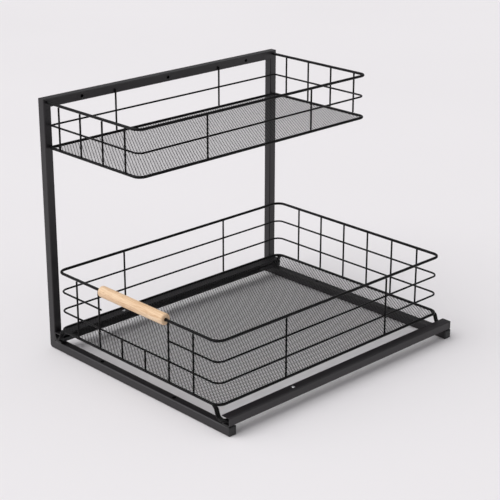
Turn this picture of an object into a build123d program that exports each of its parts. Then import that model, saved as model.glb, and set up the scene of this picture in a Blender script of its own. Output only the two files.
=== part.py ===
from build123d import *
import math
import os

# Two-tier pull-out cabinet basket, in millimetres.
# +Z is up, the basket slides out towards -Y, the posts stand on the -X side.
# Sizes and places below are written from the frame's front left corner on the floor.
# All pieces are moved at the end so that the origin is the middle of the object's base.

# ---- frame of square tube ----
frame_width = 380.0
frame_depth = 445.0
frame_height = 370.0
tube_side = 12.5
tube_wall = 1.2
tube_edge_chamfer = 0.9
frame_corner_radius = 5.0

# ---- screw holes for fixing to a cabinet ----
floor_hole_radius = 3.0
floor_hole_spacing = 152.4
wall_hole_radius = 2.5
wall_hole_spacing = 157.0

# ---- side rails, folded sheet channels open towards the basket ----
rail_width = 14.2
rail_height = 12.3
rail_sheet = 1.2
rail_bend_radius = 1.6
seat_height = 1.6
seat_length = 10.0
rail_cap_length = 6.7
rail_cap_tongue = 8.0
rail_cap_rounding = 3.0

# ---- running parts in the rails ----
running_gap = 0.3
wire_fit_gap = 0.05
guide_start = 5.0
guide_length = 20.0
glide_length = 28.0
runner_web_gap = 1.5
runner_rise = 1.0
stop_position = 122.0
rivet_shank_radius = 1.5
rivet_head_radius = 2.8
rivet_top_radius = 1.6
rivet_head_height = 1.2
rivet_runner_gap = 0.3

# ---- wires ----
frame_wire = 4.0
grid_wire = 2.7
runner_wire = 3.5
wire_flats = 8

# ---- lower basket, which slides ----
basket_side_gap = 2.0
basket_overhang = 2.4
basket_rear_gap = 10.4
basket_floor_gap = 9.0
basket_height = 88.4
basket_corner_radius = 13.0
lower_upright_spacing = 48.3
lower_side_upright_offset = 98.5
cut_end_reach = 2.5

# ---- legs, two wires side by side that run on as the runners ----
leg_top_length = 7.0
leg_top_inset = 3.5
leg_top_radius = 4.5
leg_foot_radius = 7.8
leg_lean = 4.0
runner_inner_bend = 3.8
shortest_straight = 0.2

# ---- wooden grip on the rim ----
grip_length = 133.0
grip_diameter = 16.0
grip_chamfer = 2.0
grip_bore_gap = 0.3

# ---- upper basket, fixed to the posts and the top bar ----
upper_width = 191.0
upper_height = 63.4
upper_rim_drop = 5.0
upper_corner_radius = 11.0
upper_wall_corner_radius = 4.0
upper_upright_spacing = 46.7
upper_side_upright_offset = 99.0

# ---- expanded-metal floors, drawn coarser than the real weave ----
mesh_sheet = 0.8
mesh_border = 5.0
mesh_strand = 2.4
mesh_rows = 10
lower_mesh_columns = 6
upper_mesh_columns = 4

# ---- plastic caps in the foot rails ----
foot_cap_flange = 2.0
foot_cap_plug = 12.0
cap_fit_gap = 0.1
foot_cap_chamfer = 1.2

# ---- places worked out from the sizes ----
rail_bottom = tube_side + seat_height
rail_top = rail_bottom + rail_height
rail_middle = rail_bottom + rail_height / 2
rail_length = frame_depth - rail_cap_length
left_rail_inner = tube_side + rail_width
right_rail_inner = frame_width - rail_width
basket_middle_x = (left_rail_inner + right_rail_inner) / 2
channel_middle = (rail_width - rail_sheet) / 2
runner_x = frame_width - rail_sheet - runner_web_gap - runner_wire
runner_z = rail_middle + runner_rise

basket_half_width = (right_rail_inner - left_rail_inner) / 2 - basket_side_gap - frame_wire / 2
basket_left = basket_middle_x - basket_half_width
basket_right = basket_middle_x + basket_half_width
basket_front = -basket_overhang
basket_rear = frame_depth - basket_rear_gap
basket_middle_y = (basket_front + basket_rear) / 2
floor_wire_z = rail_top + basket_floor_gap + frame_wire / 2
wire_step = basket_height / 3
third_wire_z = floor_wire_z + wire_step
second_wire_z = floor_wire_z + 2 * wire_step
rim_z = floor_wire_z + basket_height
grip_side_offset = 1.5 * lower_upright_spacing
thin_inset = grid_wire / 2

upper_rim_z = frame_height - upper_rim_drop
upper_middle_z = upper_rim_z - upper_height / 2
upper_floor_z = upper_rim_z - upper_height
upper_left = tube_side + frame_wire / 2
upper_right = upper_left + upper_width
upper_front = tube_side / 2
upper_rear = frame_depth - tube_side / 2
upper_middle_x = (upper_left + upper_right) / 2
upper_middle_y = (upper_front + upper_rear) / 2

glide_end = basket_rear - runner_wire - runner_inner_bend - running_gap
glide_start = glide_end - glide_length
travel = glide_start - (stop_position + rivet_shank_radius)

object_front = basket_front - grip_diameter / 2
origin = Vector(frame_width / 2, (object_front + frame_depth) / 2, 0)


def box(low, high):
    """A box between two corner points."""
    size = Vector(*high) - Vector(*low)
    return Pos(*low) * Box(*size, align=(Align.MIN, Align.MIN, Align.MIN))


def wire_section(start, heading, diameter):
    """A wire's section square to its heading: round wire, drawn with flats on its top and sides."""
    level = Vector(*heading).cross(Vector(0, 0, 1))
    across = level if level.length > 0.1 else Vector(1, 0, 0)
    outline = RegularPolygon(diameter / 2, wire_flats, major_radius=False, rotation=180 / wire_flats)
    return Plane(origin=start, x_dir=across, z_dir=heading) * outline


def rod(start, length, diameter):
    """A straight wire upwards from a point."""
    return extrude(wire_section(start, (0, 0, 1), diameter), length)


def bent_wire(path, diameter):
    """A wire along a path of straight runs and arcs that starts level."""
    return sweep(wire_section(path @ 0, path % 0, diameter), path=path)


def mirrored_x(piece, x):
    """The same piece on the other side of the plane at x."""
    return mirror(piece, about=Plane(origin=(x, 0, 0), z_dir=(1, 0, 0)))


def mirrored_y(piece, y):
    """The same piece on the other side of the plane at y."""
    return mirror(piece, about=Plane(origin=(0, y, 0), z_dir=(0, 1, 0)))


# ---------------------------------------------------------------- frame

def ell_outline(inset, right, top):
    """The L of post and foot rail, seen from the front, drawn in by inset."""
    inner = tube_side - inset
    low = inset
    corner = frame_corner_radius - inset
    return make_face(
        Polyline((low + corner, low), (right, low), (right, inner), (inner, inner), (inner, top), (low, top),
                 (low, low + corner))
        + CenterArc((low + corner, low + corner), corner, 180, 90)
    )


def end_frame():
    """Front frame: foot rail and post of one square tube, its top mitred for the top bar."""
    foot_end = frame_width - foot_cap_flange
    outer = extrude(Plane.XZ * ell_outline(0, foot_end, frame_height), -tube_side)
    long_edges = outer.edges().filter_by(Axis.X) + outer.edges().filter_by(Axis.Z)
    long_edges = [edge for edge in long_edges if edge.length > 2 * tube_side]
    outer = chamfer(long_edges, tube_edge_chamfer)
    hollow = extrude(Plane.XZ * ell_outline(tube_wall, foot_end + 1, frame_height + 1), -tube_side + 2 * tube_wall)
    tube = outer - Pos(0, tube_wall, 0) * hollow
    mitre = Plane.YZ * make_face(Polyline(
        (0, frame_height), (tube_side, frame_height - tube_side), (tube_side, frame_height), close=True))
    tube -= extrude(mitre, tube_side)
    for side in (-1, 1):
        spot = (frame_width / 2 + side * floor_hole_spacing / 2, tube_side / 2, tube_side / 2)
        tube -= Pos(*spot) * Cylinder(floor_hole_radius, 2 * tube_side)
    return tube


def top_bar():
    """Bar along the top between the posts, with the holes for screwing to a cabinet side."""
    low = frame_height - tube_side
    outline = Plane.YZ * make_face(Polyline(
        (0, frame_height), (frame_depth, frame_height), (frame_depth - tube_side, low), (tube_side, low),
        close=True))
    outer = extrude(outline, tube_side)
    long_edges = outer.edges().filter_by(Axis.Y)
    outer = chamfer(long_edges, tube_edge_chamfer)
    hollow = box((tube_wall, -1, low + tube_wall), (tube_side - tube_wall, frame_depth + 1, frame_height - tube_wall))
    bar = outer - hollow
    for step in (-1, 0, 1):
        spot = (tube_side / 2, frame_depth / 2 + step * wall_hole_spacing, frame_height - tube_side / 2)
        bar -= Pos(*spot) * Rot(0, 90, 0) * Cylinder(wall_hole_radius, 2 * tube_side)
    return bar


def foot_cap():
    """Plastic cap that plugs the right end of a foot rail."""
    start = frame_width - foot_cap_flange
    flange = box((start, 0, 0), (frame_width, tube_side, tube_side))
    outer_edges = flange.faces().sort_by(Axis.X)[-1].edges()
    flange = chamfer(outer_edges, foot_cap_chamfer)
    wall = tube_wall + cap_fit_gap
    plug = box((start - foot_cap_plug, wall, wall), (start, tube_side - wall, tube_side - wall))
    hollow = box((start - foot_cap_plug, 2 * wall, 2 * wall),
                 (start - foot_cap_flange, tube_side - 2 * wall, tube_side - 2 * wall))
    return flange + plug - hollow


def right_rail():
    """Side rail: a channel whose open side faces the basket."""
    low, high = rail_bottom, rail_top
    outline = Plane.XZ * (
        Pos(frame_width - rail_width / 2, (low + high) / 2) * Rectangle(rail_width, rail_height)
    )
    outer = extrude(outline, -rail_length)
    web_edges = outer.edges().filter_by(Axis.Y).sort_by(Axis.X)[-2:]
    outer = fillet(web_edges, rail_bend_radius)
    hollow = box((right_rail_inner - 1, -1, low + rail_sheet),
                 (frame_width - rail_sheet, rail_length + 1, high - rail_sheet))
    rivet_hole = Pos(frame_width - rail_sheet - channel_middle, stop_position, high) * Cylinder(
        rivet_shank_radius, 4 * rail_sheet)
    return outer - hollow - rivet_hole


def right_rail_cap():
    """Cap on the rear end of a side rail, with a tongue against the rail's web."""
    block = box((right_rail_inner, rail_length, rail_bottom), (frame_width, frame_depth, rail_top))
    rear_edges = block.faces().sort_by(Axis.Y)[-1].edges()
    block = fillet(rear_edges, rail_cap_rounding)
    inside = frame_width - rail_sheet
    tongue = box((inside - rail_sheet, rail_length - rail_cap_tongue, rail_bottom + 2 * rail_sheet),
                 (inside, rail_length + 1, rail_top - 2 * rail_sheet))
    return block + tongue


def rail_seats():
    """Four flat seats between the side rails and the foot rails."""
    middle = (tube_side + rail_width / 2, frame_width - rail_width / 2)
    seats = []
    for x in middle:
        for y in (tube_side / 2, frame_depth - tube_side / 2):
            half = seat_length / 2
            seats.append(box((x - half, y - half, tube_side), (x + half, y + half, rail_bottom)))
    return Compound(seats)


def right_stop_rivet():
    """Rivet in the rail's top, whose shank stops the glide when the basket is pulled out."""
    x = frame_width - rail_sheet - channel_middle
    shank_bottom = runner_z + runner_wire / 2 + rivet_runner_gap
    shank = Pos(x, stop_position, shank_bottom) * Cylinder(
        rivet_shank_radius, rail_top - shank_bottom, align=(Align.CENTER, Align.CENTER, Align.MIN))
    head = Pos(x, stop_position, rail_top) * Cone(
        rivet_head_radius, rivet_top_radius, rivet_head_height, align=(Align.CENTER, Align.CENTER, Align.MIN))
    return shank + head


# ---------------------------------------------------------------- running parts

def runner_slot(low_y, high_y, gap):
    """The slot for a pair of runner wires in the right rail, open towards the basket."""
    half_height = runner_wire / 2 + gap
    return box((right_rail_inner - 1, low_y - 1, runner_z - half_height),
               (runner_x + runner_wire + gap, high_y + 1, runner_z + half_height))


def right_guide():
    """Plastic guide fixed in the rail's mouth, which carries the runner wires."""
    end = guide_start + guide_length
    block = box((right_rail_inner + running_gap, guide_start, rail_bottom + rail_sheet),
                (frame_width - rail_sheet, end, rail_top - rail_sheet))
    return block - runner_slot(guide_start, end, running_gap)


def right_glide():
    """Plastic glide clipped on the rear of the runner wires."""
    block = box((right_rail_inner + running_gap, glide_start, rail_bottom + rail_sheet + running_gap),
                (frame_width - rail_sheet - running_gap, glide_end, rail_top - rail_sheet - running_gap))
    return block - runner_slot(glide_start, glide_end, wire_fit_gap)


def leg_foot_share(height):
    """Radius of a leg's lower bend for each millimetre that the bend takes of the level run."""
    turn = math.pi / 2 - math.atan(leg_lean / height)
    return 1 / math.tan(turn / 2)


def right_runner(side):
    """Runner wire with a leg at each end: side is 1 for the outer wire of the pair, -1 for the inner."""
    shift = side * runner_wire / 2
    rail_x = runner_x + shift
    top_x = basket_right - leg_top_inset
    leg_top_z = floor_wire_z - (frame_wire + runner_wire) / 2
    front = basket_front - shift
    rear = basket_rear + shift - runner_wire / 2
    bend = runner_inner_bend + (runner_wire if side > 0 else 0)
    foot_x = top_x + leg_lean
    room = rail_x - bend - foot_x - shortest_straight
    foot_radius = min(leg_foot_radius, room * leg_foot_share(leg_top_z - runner_z))
    points = []
    for y in (front, rear):
        leg = [(top_x - leg_top_length, y, leg_top_z), (top_x, y, leg_top_z),
               (foot_x, y, runner_z), (rail_x, y, runner_z)]
        points += leg if y == front else reversed(leg)
    path = FilletPolyline(*points, radius=[leg_top_radius, foot_radius, bend, bend, foot_radius, leg_top_radius])
    return bent_wire(path, runner_wire)


# ---------------------------------------------------------------- baskets

def basket_loop(z, diameter, inset):
    """Closed loop of the lower basket, drawn in from the rim's line by inset."""
    left, right = basket_left + inset, basket_right - inset
    front, rear = basket_front + inset, basket_rear - inset
    path = FilletPolyline(
        (left, front, z), (right, front, z), (right, rear, z), (left, rear, z),
        radius=basket_corner_radius - inset, close=True)
    return bent_wire(path, diameter)


def interrupted_wire():
    """Second wire of the lower basket, cut out under the grip, its ends just past the uprights there."""
    z = second_wire_z
    left, right = basket_left + thin_inset, basket_right - thin_inset
    front, rear = basket_front + thin_inset, basket_rear - thin_inset
    end_offset = grip_side_offset - grid_wire / 2 - cut_end_reach
    path = FilletPolyline(
        (basket_middle_x + end_offset, front, z), (right, front, z), (right, rear, z),
        (left, rear, z), (left, front, z), (basket_middle_x - end_offset, front, z),
        radius=basket_corner_radius - thin_inset)
    return bent_wire(path, grid_wire)


def upper_loop(z, diameter, left, inset):
    """Closed loop of the upper basket, drawn in from the rim's line by inset, with tight bends at the posts."""
    right = upper_right - inset
    front, rear = upper_front + inset, upper_rear - inset
    free, wall = upper_corner_radius - inset, upper_wall_corner_radius - inset
    path = FilletPolyline(
        (left, front, z), (right, front, z), (right, rear, z), (left, rear, z),
        radius=[wall, free, free, wall], close=True)
    return bent_wire(path, diameter)


def upper_rim():
    """Rim of the upper basket: a U whose ends meet the posts."""
    z = upper_rim_z
    path = FilletPolyline(
        (tube_side, upper_front, z), (upper_right, upper_front, z), (upper_right, upper_rear, z),
        (tube_side, upper_rear, z), radius=upper_corner_radius)
    return bent_wire(path, frame_wire)


def uprights(xs, ys, low, high):
    """Upright wires at every pairing of the given places."""
    return Compound([rod((x, y, low), high - low, grid_wire) for x in xs for y in ys])


def expanded_floor(left, right, front, rear, z, corner, columns):
    """Flat sheet with staggered diamond gaps, rounded to fit inside its wire loop."""
    width, depth = right - left, rear - front
    pitch_x = (width - 2 * mesh_border) / columns
    pitch_y = (depth - 2 * mesh_border) / mesh_rows
    reach_x, reach_y = pitch_x / 2 - mesh_strand, pitch_y / 2 - mesh_strand
    diamond = make_face(Polyline((reach_x, 0), (0, reach_y), (-reach_x, 0), (0, -reach_y), close=True))
    even = GridLocations(pitch_x, pitch_y, columns, mesh_rows).locations
    odd = GridLocations(pitch_x, pitch_y, columns - 1, mesh_rows - 1).locations
    sheet = RectangleRounded(width, depth, corner)
    sheet -= [place * diamond for place in even + odd]
    middle = Pos((left + right) / 2, (front + rear) / 2, z - mesh_sheet / 2)
    return middle * extrude(sheet, mesh_sheet)


def grip():
    """Wooden grip threaded on the rim wire."""
    body = Rot(0, 90, 0) * Cylinder(grip_diameter / 2, grip_length)
    ends = body.edges().filter_by(GeomType.CIRCLE)
    body = chamfer(ends, grip_chamfer)
    bore = Rot(0, 90, 0) * Cylinder(frame_wire / 2 + grip_bore_gap, 2 * grip_length)
    return Pos(basket_middle_x, basket_front, rim_z) * (body - bore)


# ---------------------------------------------------------------- all pieces

def frame_pieces():
    """Frame of tube, with its rails, caps and fixed running parts."""
    front_frame = end_frame()
    front_cap = foot_cap()
    right = {
        "rail": right_rail(),
        "rail_cap": right_rail_cap(),
        "rail_guide": right_guide(),
        "stop_rivet": right_stop_rivet(),
    }
    pieces = {
        "front_frame": front_frame,
        "rear_frame": mirrored_y(front_frame, frame_depth / 2),
        "top_bar": top_bar(),
        "front_foot_cap": front_cap,
        "rear_foot_cap": mirrored_y(front_cap, frame_depth / 2),
        "rail_seats": rail_seats(),
    }
    for name, piece in right.items():
        pieces["right_" + name] = piece
        pieces["left_" + name] = mirrored_x(piece, basket_middle_x)
    return pieces


def upper_basket_pieces():
    """Fixed basket at the top: thin loops inside the uprights, which stand on the floor wire."""
    xs = [upper_middle_x + step * upper_upright_spacing for step in (-1.5, -0.5, 0.5, 1.5)]
    ys = [upper_middle_y + side * upper_side_upright_offset for side in (-1, 1)]
    low = upper_floor_z + frame_wire / 2
    high = upper_rim_z - frame_wire / 2
    wall_upright_x = tube_side + grid_wire / 2
    middle_left = wall_upright_x + grid_wire
    edge = frame_wire / 2
    return {
        "upper_rim": upper_rim(),
        "upper_middle_wire": upper_loop(upper_middle_z, grid_wire, middle_left, thin_inset),
        "upper_floor_wire": upper_loop(upper_floor_z, frame_wire, upper_left, 0),
        "upper_front_uprights": uprights(xs, [upper_front - thin_inset], low, high),
        "upper_rear_uprights": uprights(xs, [upper_rear + thin_inset], low, high),
        "upper_right_uprights": uprights([upper_right + thin_inset], ys, low, high),
        "upper_wall_uprights": uprights([wall_upright_x], ys, low, frame_height - tube_side / 2),
        "upper_mesh": expanded_floor(
            upper_left + edge, upper_right - edge, upper_front + edge, upper_rear - edge,
            upper_floor_z, upper_corner_radius, upper_mesh_columns),
    }


def lower_basket_pieces():
    """Sliding basket with its legs, runners and glides."""
    xs = [basket_middle_x + step * lower_upright_spacing for step in (-2.5, -1.5, 1.5, 2.5)]
    short_xs = [basket_middle_x + step * lower_upright_spacing for step in (-0.5, 0.5)]
    ys = [basket_middle_y + side * lower_side_upright_offset for side in (-1, 1)]
    front, rear = basket_front - thin_inset, basket_rear + thin_inset
    low = floor_wire_z + frame_wire / 2
    high = rim_z - frame_wire / 2
    edge = frame_wire / 2
    right = {
        "runner_outer": right_runner(1),
        "runner_inner": right_runner(-1),
        "glide": right_glide(),
    }
    pieces = {
        "lower_rim": basket_loop(rim_z, frame_wire, 0),
        "lower_second_wire": interrupted_wire(),
        "lower_third_wire": basket_loop(third_wire_z, grid_wire, thin_inset),
        "lower_floor_wire": basket_loop(floor_wire_z, frame_wire, 0),
        "lower_front_uprights": uprights(xs, [front], low, high),
        "lower_short_uprights": uprights(short_xs, [front], low, third_wire_z + grid_wire / 2),
        "lower_rear_uprights": uprights(xs + short_xs, [rear], low, high),
        "lower_left_uprights": uprights([basket_left - thin_inset], ys, low, high),
        "lower_right_uprights": uprights([basket_right + thin_inset], ys, low, high),
        "lower_mesh": expanded_floor(
            basket_left + edge, basket_right - edge, basket_front + edge, basket_rear - edge,
            floor_wire_z, basket_corner_radius, lower_mesh_columns),
    }
    for name, piece in right.items():
        pieces["right_" + name] = piece
        pieces["left_" + name] = mirrored_x(piece, basket_middle_x)
    return pieces


def main():
    pieces = {**frame_pieces(), **upper_basket_pieces(), **lower_basket_pieces(), "grip": grip()}
    os.makedirs("parts", exist_ok=True)
    for name, piece in pieces.items():
        placed = Pos(*(-origin)) * piece
        placed.label = name
        export_step(placed, f"parts/{name}.step")
    print("travel of the lower basket", round(travel, 2))
    print("origin from the front left corner", origin)


main()
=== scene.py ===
import math

import bpy
from mathutils import Matrix, Vector


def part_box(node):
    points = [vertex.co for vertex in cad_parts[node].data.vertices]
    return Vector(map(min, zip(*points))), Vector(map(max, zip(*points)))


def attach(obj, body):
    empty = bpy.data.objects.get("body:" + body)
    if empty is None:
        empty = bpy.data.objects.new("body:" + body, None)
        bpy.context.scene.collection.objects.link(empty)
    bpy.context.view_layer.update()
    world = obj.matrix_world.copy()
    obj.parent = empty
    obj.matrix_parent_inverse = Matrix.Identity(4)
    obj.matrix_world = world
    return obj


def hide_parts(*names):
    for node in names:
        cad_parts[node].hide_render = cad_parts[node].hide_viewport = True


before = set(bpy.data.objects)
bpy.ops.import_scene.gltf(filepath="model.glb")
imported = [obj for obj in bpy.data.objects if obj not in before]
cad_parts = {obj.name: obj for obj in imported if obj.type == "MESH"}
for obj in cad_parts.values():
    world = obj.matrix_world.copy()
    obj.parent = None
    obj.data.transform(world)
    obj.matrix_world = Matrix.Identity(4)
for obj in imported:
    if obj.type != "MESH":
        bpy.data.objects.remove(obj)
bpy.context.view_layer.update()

MM = 0.001

# ---- sizes in millimetres, in the same frame as the part ----
LOOP_BEND = 13.0          # bend of the lower basket's corners, at the middle of the rim wire
UPPER_BEND = 11.0         # the same on the upper basket
POST_BEND = 4.0           # bend of the upper basket's two lower loops beside the posts
THIN_INSET = 1.35         # how much tighter a loop of thin wire bends, which is half its wire
LOWER_PITCH = 48.3        # between uprights across the lower basket
GRIP_UPRIGHT = 1.5 * LOWER_PITCH   # from the basket's middle to an upright beside the grip
CUT_END_LEFT = 0.0        # how far the second wire's left cut end stands past its upright
CUT_END_RIGHT = 2.5       # the same on the right

RUNNER_WIRE = 3.5         # wire of the legs and runners
FLOOR_WIRE_RADIUS = 2.0   # the legs start in the middle of the floor wire
LEG_TOP_RUN = 7.0         # level start of a leg under the floor wire
LEG_LEAN = 4.0            # how far a leg leans outwards on its way down
LEG_TOP_BEND = 4.5        # upper bend of a leg, seen from the front
LEG_FOOT_BEND = 7.8       # lower bend of a leg
TURN_IN = 3.8             # bend of the inner runner wire into the rail

WEAVE_LONG = 7.3          # long way of a diamond in the expanded metal, across the basket
WEAVE_SHORT = 4.68        # short way of a diamond
WEAVE_REACH = 1.9         # how far the weave goes on past the CAD sheet, into the floor wire
STRAND = 0.7              # width of a strand of the expanded metal
BOND_LONG = 1.15          # half a bond's length, in strand widths: a bond is where four strands meet
BOND_SHORT = 0.5          # half a bond's width, in strand widths
BOND_TILT = 0.2           # how far a bond's front edge rises and its rear edge dips
SHEET = 0.45              # thickness of the expanded metal

GRIP_BORE = 2.6           # radius of the bore for the rim wire
GRIP_EDGE = 2.2           # rounding of the grip's ends
GRIP_MOUTH = 0.5          # rounding of the bore's mouth
GRIP_SIDES = 48
RIVET_HEAD = 1.2          # height of the domed head
RIVET_SHANK = 1.5         # radius of the shank
RIVET_FOOT_TIP = 0.05     # radius left open in the middle of the shank's foot, too small to see
RIVET_HEAD_TIP = 0.02     # the same in the middle of the head
RIVET_SIDES = 24
RIVET_DOME = (0, 0.3, 0.6, 0.9, 1.2, 1.45)   # angles at which the dome has rings, in radians

ARC_STEP = math.radians(9)   # a bend in a wire is drawn in steps of about this
ARC_LEAST_STEPS = 4

# ---- where the uprights of a row stand, from 0 at its first to 1 at its last ----
TWO = (0, 1)
FOUR = (0, 1 / 3, 2 / 3, 1)
SIX = (0, 1 / 5, 2 / 5, 3 / 5, 4 / 5, 1)
FOUR_OF_SIX = (0, 1 / 5, 4 / 5, 1)   # the grip hangs where the middle two would be

# ---- studio ----
FLOOR_HALF_SIDE = 40.0    # in metres
ROOM = ((0.1, "#EBEBEC"), (0.24, "#505052"), (0.55, "#505052"), (0.75, "#ECECED"))   # 0 is level, 1 overhead
SOFTBOX_STRENGTH = 1.82
SOFTBOX_WIDTH = math.radians(65)
SOFTBOX_FROM = Vector((-0.5, -0.65, 1.0))

# ---- camera: fitted to the photograph, which is 500 by 500 ----
PHOTO_SIDE = 500.0
CAMERA_PLACE = Vector((1338.0, -1286.3, 848.0))
CAMERA_YAW = 46.114
CAMERA_PITCH = 19.938
CAMERA_ROLL = 0.107
CAMERA_FOCAL_PX = 1395.0
CAMERA_SHIFT_Y = -0.04
SENSOR = 36.0


# ------------------------------------------------------------------ materials

def colour(hex_value):
    """An sRGB hex colour as linear red, green, blue and alpha."""
    channels = [int(hex_value[i:i + 2], 16) / 255 for i in (1, 3, 5)]
    linear = [c / 12.92 if c <= 0.04045 else ((c + 0.055) / 1.055) ** 2.4 for c in channels]
    return (*linear, 1.0)


def add(tree, kind, settings=(), stops=(), **links):
    """Adds a node with its settings, colour stops and inputs: a socket is linked, a number or colour is set.

    An input is named as in the node, with _ for a space, or i and its number.
    """
    node = tree.nodes.new(kind)
    for name, value in dict(settings).items():
        setattr(node, name, value)
    for number, (place, hex_value) in enumerate(stops):
        band = node.color_ramp.elements
        stop = band[number] if number < len(band) else band.new(place)
        stop.position = place
        stop.color = colour(hex_value)
    for name, value in links.items():
        is_number = name[0] == "i" and name[1:].isdigit()
        socket = node.inputs[int(name[1:])] if is_number else node.inputs[name.replace("_", " ")]
        if isinstance(value, bpy.types.NodeSocket):
            tree.links.new(value, socket)
        else:
            socket.default_value = value
    return node


def new_material(name):
    """An empty material, its node tree, and the material's own coordinates in metres of the row frame."""
    material = bpy.data.materials.new(name)
    material.use_nodes = True
    tree = material.node_tree
    tree.nodes.clear()
    place = add(tree, "ShaderNodeTexCoord").outputs["Object"]
    return material, tree, place


def finish_material(material, tree, **sockets):
    """Closes a material with one Principled BSDF."""
    shader = add(tree, "ShaderNodeBsdfPrincipled", **sockets)
    add(tree, "ShaderNodeOutputMaterial", Surface=shader.outputs["BSDF"])
    return material


def powder_coat(name, dark, light, roughness, grain_mm, shine):
    """Black polyester powder coat, baked on steel: satin, with the fine pebble of melted powder."""
    material, tree, place = new_material(name)
    cloud = add(tree, "ShaderNodeTexNoise", Vector=place, Scale=1 / (60 * MM), Detail=3.0)
    pebble = add(tree, "ShaderNodeTexNoise", Vector=place, Scale=1 / (grain_mm * MM), Detail=2.0)
    tone = add(tree, "ShaderNodeValToRGB", stops=[(0.35, dark), (0.65, light)], Fac=cloud.outputs["Fac"])
    sheen = add(tree, "ShaderNodeMapRange", Value=pebble.outputs["Fac"], From_Min=0.3, From_Max=0.7,
                To_Min=roughness - 0.05, To_Max=roughness + 0.06)
    bump = add(tree, "ShaderNodeBump", Height=pebble.outputs["Fac"], Strength=0.12, Distance=0.05 * MM)
    return finish_material(material, tree, Base_Color=tone.outputs["Color"], Roughness=sheen.outputs["Result"],
                           Normal=bump.outputs["Normal"], IOR=1.5, Specular_IOR_Level=shine)


def moulded_plastic(name, dark, light, roughness):
    """Moulded plastic: an even matte surface with the mould's spark-eroded grain.

    The real grain is about 0.1 mm. It is drawn coarser, because it wouldn't show.
    """
    material, tree, place = new_material(name)
    grain = add(tree, "ShaderNodeTexNoise", Vector=place, Scale=1 / (0.8 * MM), Detail=2.0)
    tone = add(tree, "ShaderNodeValToRGB", stops=[(0.3, dark), (0.7, light)], Fac=grain.outputs["Fac"])
    bump = add(tree, "ShaderNodeBump", Height=grain.outputs["Fac"], Strength=0.15, Distance=0.04 * MM)
    return finish_material(material, tree, Base_Color=tone.outputs["Color"], Roughness=roughness,
                           Normal=bump.outputs["Normal"], IOR=1.46)


def zinc_plate(name):
    """Bright zinc-plated steel: pale metal, slightly clouded by the plating bath."""
    material, tree, place = new_material(name)
    cloud = add(tree, "ShaderNodeTexNoise", Vector=place, Scale=1 / (1.5 * MM), Detail=3.0)
    tone = add(tree, "ShaderNodeValToRGB", stops=[(0.3, "#C9CBCE"), (0.7, "#E2E3E4")], Fac=cloud.outputs["Fac"])
    sheen = add(tree, "ShaderNodeMapRange", Value=cloud.outputs["Fac"], To_Min=0.2, To_Max=0.36)
    return finish_material(material, tree, Base_Color=tone.outputs["Color"], Metallic=1.0,
                           Roughness=sheen.outputs["Result"])


def beech(name):
    """Turned and sanded beech under clear lacquer: straight grain along the grip, short dark flecks."""
    material, tree, place = new_material(name)
    along = add(tree, "ShaderNodeMapping", Vector=place, Scale=(0.06, 1.0, 1.0))
    fleck_way = add(tree, "ShaderNodeMapping", Vector=place, Scale=(0.18, 1.0, 1.0))
    growth = add(tree, "ShaderNodeTexNoise", Vector=along.outputs["Vector"], Scale=1 / (4.5 * MM), Detail=4.0,
                 Distortion=0.4)
    fibre = add(tree, "ShaderNodeTexNoise", Vector=along.outputs["Vector"], Scale=1 / (0.9 * MM), Detail=3.0)
    fleck = add(tree, "ShaderNodeTexNoise", Vector=fleck_way.outputs["Vector"], Scale=1 / (0.8 * MM),
                Detail=1.0)
    body = add(tree, "ShaderNodeValToRGB", stops=[(0.3, "#E9C59E"), (0.5, "#F2D3AF"), (0.7, "#FBE2C2")],
               Fac=growth.outputs["Fac"])
    lines = add(tree, "ShaderNodeValToRGB", stops=[(0.35, "#E3CDB4"), (0.6, "#FFFFFF")],
                Fac=fibre.outputs["Fac"])
    flecks = add(tree, "ShaderNodeValToRGB", stops=[(0.28, "#C8986A"), (0.36, "#FFFFFF")],
                 Fac=fleck.outputs["Fac"])
    grained = add(tree, "ShaderNodeMix", {"data_type": "RGBA", "blend_type": "MULTIPLY"}, i0=0.55,
                  i6=body.outputs["Color"], i7=lines.outputs["Color"])
    flecked = add(tree, "ShaderNodeMix", {"data_type": "RGBA", "blend_type": "MULTIPLY"}, i0=0.4,
                  i6=grained.outputs[2], i7=flecks.outputs["Color"])
    bump = add(tree, "ShaderNodeBump", Height=fibre.outputs["Fac"], Strength=0.2, Distance=0.06 * MM)
    return finish_material(material, tree, Base_Color=flecked.outputs[2], Roughness=0.48,
                           Normal=bump.outputs["Normal"], IOR=1.5)


def painted_floor(name):
    """Matt pale paint on the studio floor, faintly mottled by the roller."""
    material, tree, place = new_material(name)
    cloud = add(tree, "ShaderNodeTexNoise", Vector=place, Scale=1 / (900 * MM), Detail=2.0)
    tone = add(tree, "ShaderNodeValToRGB", stops=[(0.3, "#EDEAEC"), (0.7, "#EFECEE")], Fac=cloud.outputs["Fac"])
    return finish_material(material, tree, Base_Color=tone.outputs["Color"], Roughness=0.9,
                           Specular_IOR_Level=0.1)


# Wire copy of the coat: a darker base and less shine than on the tubes. The darker base is painted shade,
# standing in for the darker surroundings the round wires reflect.
wire_coat_with_painted_shade = powder_coat("black_powder_coat_on_wire_darkened_as_painted_shade", "#0A090A", "#0D0C0D", 0.32, 0.7, 0.14)
tube_coat = powder_coat("black_powder_coat_on_tube", "#1B181B", "#1F1C1F", 0.36, 0.8, 0.5)
# Expanded-metal copy of the coat: a darker base than on the tubes. The darker base is painted shade on the
# strands.
mesh_coat_with_painted_shade = powder_coat("black_powder_coat_on_expanded_steel", "#0C0B0C", "#100F10", 0.42, 1.0, 0.2)
plastic = moulded_plastic("black_polypropylene", "#262627", "#2C2C2D", 0.6)
nylon = moulded_plastic("dark_nylon", "#3A3A3C", "#414143", 0.5)
zinc = zinc_plate("bright_zinc_plate")
wood = beech("lacquered_beech")

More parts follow.
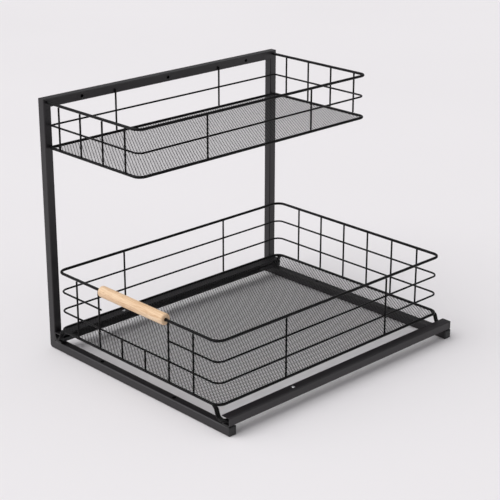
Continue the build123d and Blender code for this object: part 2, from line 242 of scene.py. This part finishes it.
CAD_FINISHES = {
    "front_frame": tube_coat, "rear_frame": tube_coat, "top_bar": tube_coat, "rail_seats": tube_coat,
    "left_rail": tube_coat, "right_rail": tube_coat,
    "front_foot_cap": plastic, "rear_foot_cap": plastic, "left_rail_cap": plastic, "right_rail_cap": plastic,
    "left_rail_guide": nylon, "right_rail_guide": nylon, "left_glide": nylon, "right_glide": nylon,
}


def dress_cad_nodes():
    """Finishes of the tubes, rails and plastic parts, which are shown as the CAD has them."""
    for node, material in CAD_FINISHES.items():
        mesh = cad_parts[node].data
        mesh.materials.clear()
        mesh.materials.append(material)
        mesh.shade_flat()


# ------------------------------------------------------------------ pieces in the place of CAD nodes

def stand_in(node, ending, data, material, body):
    """Shows a mesh or curve in the place of a CAD node, in its material, riding on its body."""
    thing = bpy.data.objects.new(node + ending, data)
    bpy.context.scene.collection.objects.link(thing)
    data.materials.append(material)
    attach(thing, body)
    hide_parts(node)
    return thing


def new_mesh(name, verts, faces):
    """A mesh from vertices in metres and faces."""
    mesh = bpy.data.meshes.new(name)
    mesh.from_pydata(verts, [], faces)
    return mesh


def new_wire(name, diameter):
    """An empty curve that draws its lines as round wire."""
    curve = bpy.data.curves.new(name, "CURVE")
    curve.dimensions = "3D"
    curve.bevel_depth = diameter / 2
    curve.bevel_resolution = 4
    curve.use_fill_caps = True
    return curve


def draw_line(curve, points, closed=False):
    """Adds a line through points to a wire."""
    line = curve.splines.new("POLY")
    line.points.add(len(points) - 1)
    for target, point in zip(line.points, points):
        target.co = (*point, 1)
    line.use_cyclic_u = closed


def rounded(corners, bends, closed):
    """Points of a line through corners, each rounded with an arc of its bend. All in metres."""
    count = len(corners)
    points = []
    for index, corner in enumerate(corners):
        if not closed and index in (0, count - 1):
            points.append(corner)
            continue
        before = (corners[index - 1] - corner).normalized()
        after = (corners[(index + 1) % count] - corner).normalized()
        half = before.angle(after) / 2
        bend = bends[index]
        middle = corner + (before + after).normalized() * bend / math.sin(half)
        start = corner + before * bend / math.tan(half)
        axis = before.cross(after)
        turn = math.pi - 2 * half
        steps = max(ARC_LEAST_STEPS, round(turn / ARC_STEP))
        for step in range(steps + 1):
            points.append(middle + Matrix.Rotation(-turn * step / steps, 3, axis) @ (start - middle))
    return points


def wire(node, corners, bends_mm, diameter, closed, body):
    """A round powder-coated wire in the place of a CAD wire, bent along the corners."""
    curve = new_wire(node + "_round", diameter)
    draw_line(curve, rounded(corners, [bend * MM for bend in bends_mm], closed), closed)
    stand_in(node, "_round", curve, wire_coat_with_painted_shade, body)


def middle_line(node):
    """Diameter of a CAD loop's wire, and the corners of its middle line, round from its front left one."""
    low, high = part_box(node)
    diameter = high.z - low.z
    inset = Vector((diameter / 2, diameter / 2, 0))
    near, far = low + inset, high - inset
    z = (low.z + high.z) / 2
    places = ((near.x, near.y), (far.x, near.y), (far.x, far.y), (near.x, far.y))
    return diameter, [Vector((x, y, z)) for x, y in places]


# ------------------------------------------------------------------ wires of the baskets

def loop(node, bends_mm, body):
    """A closed wire loop, with its bends round from its front left corner."""
    diameter, corners = middle_line(node)
    wire(node, corners, bends_mm, diameter, True, body)


def spread(low, high, steps):
    """Places between two ends, where steps run from 0 at low to 1 at high."""
    return [low + (high - low) * step for step in steps]


def uprights(node, body, steps_x=(0,), steps_y=(0,)):
    """Uprights in the place of a CAD row, at steps between the ends of its box."""
    low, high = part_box(node)
    radius = 0.5 * min(high.x - low.x, high.y - low.y)
    curve = new_wire(node + "_round", 2 * radius)
    for x in spread(low.x + radius, high.x - radius, steps_x):
        for y in spread(low.y + radius, high.y - radius, steps_y):
            draw_line(curve, [Vector((x, y, low.z)), Vector((x, y, high.z))])
    stand_in(node, "_round", curve, wire_coat_with_painted_shade, body)


def upper_rim():
    """Rim of the upper basket, welded to the posts at its two ends."""
    node = "upper_rim"
    diameter, corners = middle_line(node)
    at_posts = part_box(node)[0].x
    corners[0].x = corners[3].x = at_posts
    wire(node, corners, [UPPER_BEND] * 4, diameter, False, "frame")


def interrupted_wire():
    """Second wire of the lower basket, cut out under the grip."""
    node = "lower_second_wire"
    diameter, (front_left, front_right, rear_right, rear_left) = middle_line(node)
    middle = (front_left + front_right) / 2
    left_end = middle - Vector(((GRIP_UPRIGHT - CUT_END_LEFT) * MM - diameter / 2, 0, 0))
    right_end = middle + Vector(((GRIP_UPRIGHT - CUT_END_RIGHT) * MM - diameter / 2, 0, 0))
    corners = [right_end, front_right, rear_right, rear_left, front_left, left_end]
    wire(node, corners, [LOOP_BEND - THIN_INSET] * 6, diameter, False, "basket")


def runner(side, is_outer):
    """One of a pair of wires: front leg, run inside the rail and rear leg.

    side is 1 on the right and -1 on the left.
    """
    node = f"{'right' if side > 0 else 'left'}_runner_{'outer' if is_outer else 'inner'}"
    low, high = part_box(node)
    radius = RUNNER_WIRE * MM / 2
    outside = high.x - radius if side > 0 else low.x + radius
    inside = low.x if side > 0 else high.x
    leg_top = inside + side * LEG_TOP_RUN * MM
    leg_foot = leg_top + side * LEG_LEAN * MM
    top, bottom = high.z - radius, low.z + radius
    front, rear = low.y + radius, high.y - radius
    weld_y = front + radius if is_outer else front - radius
    weld_z = top + radius + FLOOR_WIRE_RADIUS * MM
    front_leg = [Vector((inside, weld_y, weld_z)), Vector((leg_top, front, top)),
                 Vector((leg_foot, front, bottom)), Vector((outside, front, bottom))]
    rear_leg = [Vector((corner.x, front + rear - corner.y, corner.z)) for corner in reversed(front_leg)]
    turn = TURN_IN + RUNNER_WIRE if is_outer else TURN_IN
    bends = [0, LEG_TOP_BEND, LEG_FOOT_BEND, turn]
    wire(node, front_leg + rear_leg, bends + bends[::-1], 2 * radius, False, "basket")


# ------------------------------------------------------------------ expanded metal

def expanded_metal(node, bend_mm, body):
    """Raised expanded metal: bonds in staggered rows, each tilted, joined by twisted strands."""
    low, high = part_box(node)
    reach = WEAVE_REACH * MM
    left, right = low.x - reach, high.x + reach
    front, rear = low.y - reach, high.y + reach
    z = (low.z + high.z) / 2
    columns = round((right - left) / (WEAVE_LONG * MM))
    rows = round((rear - front) / (WEAVE_SHORT * MM))
    step_x, step_y = (right - left) / columns / 2, (rear - front) / rows / 2
    half_x, half_y = STRAND * MM * BOND_LONG, STRAND * MM * BOND_SHORT
    tilt = BOND_TILT * MM
    corner = bend_mm * MM

    verts, faces, bonds = [], [], {}
    for j in range(2 * rows + 1):
        for i in range(j % 2, 2 * columns + 1, 2):
            x, y = left + i * step_x, front + j * step_y
            over_x = corner - min(x - left, right - x)
            over_y = corner - min(y - front, rear - y)
            is_past_bend = over_x > 0 and over_y > 0 and math.hypot(over_x, over_y) > corner
            if not is_past_bend:
                bonds[i, j] = len(verts)
                verts += [(x - half_x, y, z), (x, y - half_y, z + tilt),
                          (x + half_x, y, z), (x, y + half_y, z - tilt)]

    for (i, j), here in bonds.items():
        faces.append((here, here + 1, here + 2, here + 3))
        behind_right = bonds.get((i + 1, j + 1))
        if behind_right is not None:
            faces.append((here + 3, here + 2, behind_right + 1, behind_right))
        behind_left = bonds.get((i - 1, j + 1))
        if behind_left is not None:
            faces.append((here, here + 3, behind_left + 2, behind_left + 1))

    mesh = new_mesh(node + "_weave", verts, faces)
    mesh.shade_flat()
    sheet = stand_in(node, "_weave", mesh, mesh_coat_with_painted_shade, body)
    thick = sheet.modifiers.new("sheet", "SOLIDIFY")
    thick.thickness = SHEET * MM
    thick.offset = 0


# ------------------------------------------------------------------ grip and rivets

def turned(name, profile, axis, origin, sides):
    """Mesh of a closed turned piece: profile is (along, radius) in metres, revolved about axis, X or Z."""
    verts, faces = [], []
    for along, radius in profile:
        for side in range(sides):
            around = 2 * math.pi * side / sides
            u, v = radius * math.cos(around), radius * math.sin(around)
            verts.append(origin + (Vector((along, u, v)) if axis == "X" else Vector((u, v, along))))
    count = len(profile)
    for ring in range(count):
        for side in range(sides):
            a, b = ring * sides + side, ring * sides + (side + 1) % sides
            c, d = (a + sides) % (count * sides), (b + sides) % (count * sides)
            faces.append((a, c, d, b))
    mesh = new_mesh(name, verts, faces)
    mesh.shade_smooth()
    return mesh


def arc(middle_along, middle_radius, radius, start_deg, end_deg, steps):
    """Points of an arc in a turned profile."""
    angles = [math.radians(start_deg + (end_deg - start_deg) * i / steps) for i in range(steps + 1)]
    return [(middle_along + radius * math.cos(a), middle_radius + radius * math.sin(a)) for a in angles]


def grip():
    """Wooden grip: a turned rod with softly rounded ends and a bore for the rim wire."""
    low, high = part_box("grip")
    half = (high.x - low.x) / 2
    radius = (high.z - low.z) / 2
    bore, edge, mouth = GRIP_BORE * MM, GRIP_EDGE * MM, GRIP_MOUTH * MM
    right_half = arc(half - edge, radius - edge, edge, 90, 0, 6)
    right_half += arc(half - mouth, bore + mouth, mouth, 0, -90, 3)
    left_half = [(-along, r) for along, r in reversed(right_half)]
    rod = turned("grip_turned", right_half + left_half, "X", (low + high) / 2, GRIP_SIDES)
    stand_in("grip", "_turned", rod, wood, "basket")


def rivet(node):
    """Stop rivet: a low domed head on a shank."""
    low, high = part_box(node)
    middle = Vector(((low.x + high.x) / 2, (low.y + high.y) / 2, 0))
    head_radius = (high.x - low.x) / 2
    head_height, shank = RIVET_HEAD * MM, RIVET_SHANK * MM
    seat = high.z - head_height
    dome = [(seat + head_height * math.sin(a), head_radius * math.cos(a)) for a in RIVET_DOME]
    foot_tip, head_tip = RIVET_FOOT_TIP * MM, RIVET_HEAD_TIP * MM
    profile = [(low.z, foot_tip), (low.z, shank), (seat, shank), *dome, (high.z, head_tip)]
    domed = turned(node + "_domed", profile, "Z", middle, RIVET_SIDES)
    stand_in(node, "_domed", domed, zinc, "frame")


# ------------------------------------------------------------------ studio

def studio_floor():
    """Plain pale floor under the object."""
    side = FLOOR_HALF_SIDE
    corners = [(-side, -side, 0), (side, -side, 0), (side, side, 0), (-side, side, 0)]
    mesh = new_mesh("studio_floor", corners, [(0, 1, 2, 3)])
    mesh.materials.append(painted_floor("matt_floor_paint"))
    floor = bpy.data.objects.new("studio_floor", mesh)
    bpy.context.scene.collection.objects.link(floor)


def studio_light():
    """A room that is pale low down and overhead and dark between, and one broad soft lamp."""
    world = bpy.data.worlds.new("studio")
    bpy.context.scene.world = world
    world.use_nodes = True
    tree = world.node_tree
    tree.nodes.clear()
    direction = add(tree, "ShaderNodeTexCoord").outputs["Generated"]
    height = add(tree, "ShaderNodeSeparateXYZ", Vector=direction).outputs["Z"]
    room = add(tree, "ShaderNodeValToRGB", stops=ROOM, Fac=height)
    sky = add(tree, "ShaderNodeBackground", Color=room.outputs["Color"], Strength=1.0)
    add(tree, "ShaderNodeOutputWorld", Surface=sky.outputs["Background"])

    softbox = bpy.data.lights.new("softbox", "SUN")
    softbox.energy = SOFTBOX_STRENGTH
    softbox.angle = SOFTBOX_WIDTH
    lamp = bpy.data.objects.new("softbox", softbox)
    bpy.context.scene.collection.objects.link(lamp)
    lamp.rotation_euler = SOFTBOX_FROM.to_track_quat("Z", "Y").to_euler()


def photo_camera():
    """The photograph's camera."""
    data = bpy.data.cameras.new("photo_camera")
    data.sensor_width = SENSOR
    data.lens = CAMERA_FOCAL_PX / PHOTO_SIDE * SENSOR
    data.shift_y = CAMERA_SHIFT_Y
    data.clip_end = 100
    camera = bpy.data.objects.new("photo_camera", data)
    bpy.context.scene.collection.objects.link(camera)
    camera.location = CAMERA_PLACE * MM
    turn = Matrix.Rotation(math.radians(CAMERA_YAW), 3, "Z")
    tip = Matrix.Rotation(math.radians(90 - CAMERA_PITCH), 3, "X")
    roll = Matrix.Rotation(math.radians(CAMERA_ROLL), 3, "Z")
    camera.rotation_euler = (turn @ tip @ roll).to_euler()
    bpy.context.scene.camera = camera


# ------------------------------------------------------------------ the object

def upper_basket():
    """Wires and floor of the fixed basket."""
    upper_rim()
    thin_bend, thin_post_bend = UPPER_BEND - THIN_INSET, POST_BEND - THIN_INSET
    loop("upper_middle_wire", [thin_post_bend, thin_bend, thin_bend, thin_post_bend], "frame")
    loop("upper_floor_wire", [POST_BEND, UPPER_BEND, UPPER_BEND, POST_BEND], "frame")
    uprights("upper_front_uprights", "frame", steps_x=FOUR)
    uprights("upper_rear_uprights", "frame", steps_x=FOUR)
    uprights("upper_right_uprights", "frame", steps_y=TWO)
    uprights("upper_wall_uprights", "frame", steps_y=TWO)
    expanded_metal("upper_mesh", UPPER_BEND, "frame")


def lower_basket():
    """Wires, floor, runners and grip of the sliding basket."""
    loop("lower_rim", [LOOP_BEND] * 4, "basket")
    interrupted_wire()
    loop("lower_third_wire", [LOOP_BEND - THIN_INSET] * 4, "basket")
    loop("lower_floor_wire", [LOOP_BEND] * 4, "basket")
    uprights("lower_front_uprights", "basket", steps_x=FOUR_OF_SIX)
    uprights("lower_short_uprights", "basket", steps_x=TWO)
    uprights("lower_rear_uprights", "basket", steps_x=SIX)
    uprights("lower_left_uprights", "basket", steps_y=TWO)
    uprights("lower_right_uprights", "basket", steps_y=TWO)
    expanded_metal("lower_mesh", LOOP_BEND, "basket")
    for side in (-1, 1):
        for is_outer in (False, True):
            runner(side, is_outer)
    grip()


dress_cad_nodes()
upper_basket()
lower_basket()
rivet("left_stop_rivet")
rivet("right_stop_rivet")
studio_floor()
studio_light()
photo_camera()
bpy.context.scene.view_settings.view_transform = "Standard"
